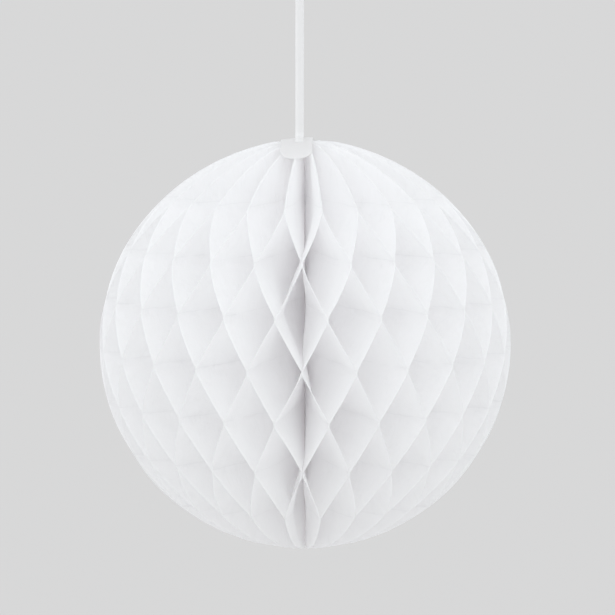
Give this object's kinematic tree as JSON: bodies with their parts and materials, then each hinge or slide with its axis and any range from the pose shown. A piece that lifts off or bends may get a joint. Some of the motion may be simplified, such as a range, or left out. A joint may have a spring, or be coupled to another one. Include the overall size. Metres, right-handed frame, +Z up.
{
  "type": "honeycomb paper ball",
  "caption": "White tissue honeycomb ball: half-disc sheets glued in alternate rows and fanned round an upright axis, with a paper tab and a flat hanging ribbon on top.",
  "frame": {"origin": "centre of the ball, on its axis", "axes": "+Z up along the axis towards the ribbon, -Y towards the front cells, +Y towards the closing cards, +X to the right as seen from the front"},
  "size_m": [0.2, 0.1999, 0.2947],
  "materials": {
    "tissue": "matte",
    "card": "matte",
    "binding": "matte",
    "tab_paper": "matte",
    "ribbon": "satin"
  },
  "bodies": {
    "root": {"tissue_sheet_01": "tissue", "tissue_sheet_02": "tissue", "tissue_sheet_03": "tissue", "tissue_sheet_04": "tissue", "tissue_sheet_05": "tissue", "tissue_sheet_06": "tissue", "tissue_sheet_07": "tissue", "tissue_sheet_08": "tissue", "tissue_sheet_09": "tissue", "tissue_sheet_10": "tissue", "tissue_sheet_11": "tissue", "tissue_sheet_12": "tissue", "tissue_sheet_13": "tissue", "tissue_sheet_14": "tissue", "tissue_sheet_15": "tissue", "tissue_sheet_16": "tissue", "tissue_sheet_17": "tissue", "tissue_sheet_18": "tissue", "tissue_sheet_19": "tissue", "tissue_sheet_20": "tissue", "tissue_sheet_21": "tissue", "tissue_sheet_22": "tissue", "tissue_sheet_23": "tissue", "tissue_sheet_24": "tissue", "tissue_sheet_25": "tissue", "tissue_sheet_26": "tissue", "tissue_sheet_27": "tissue", "tissue_sheet_28": "tissue", "tissue_sheet_29": "tissue", "tissue_sheet_30": "tissue", "tissue_sheet_31": "tissue", "tissue_sheet_32": "tissue", "tissue_sheet_33": "tissue", "tissue_sheet_34": "tissue", "tissue_sheet_35": "tissue", "tissue_sheet_36": "tissue", "tissue_sheet_37": "tissue", "tissue_sheet_38": "tissue", "tissue_sheet_39": "tissue", "tissue_sheet_40": "tissue", "tissue_sheet_41": "tissue", "tissue_sheet_42": "tissue", "tissue_sheet_43": "tissue", "tissue_sheet_44": "tissue", "tissue_sheet_45": "tissue", "tissue_sheet_46": "tissue", "tissue_sheet_47": "tissue", "tissue_sheet_48": "tissue", "end_card_left": "card", "end_card_right": "card", "spine_binding": "binding", "hanger_tab": "tab_paper", "hanging_ribbon": "ribbon", "ribbon_knot": "ribbon"}
  },
  "joints": []
}
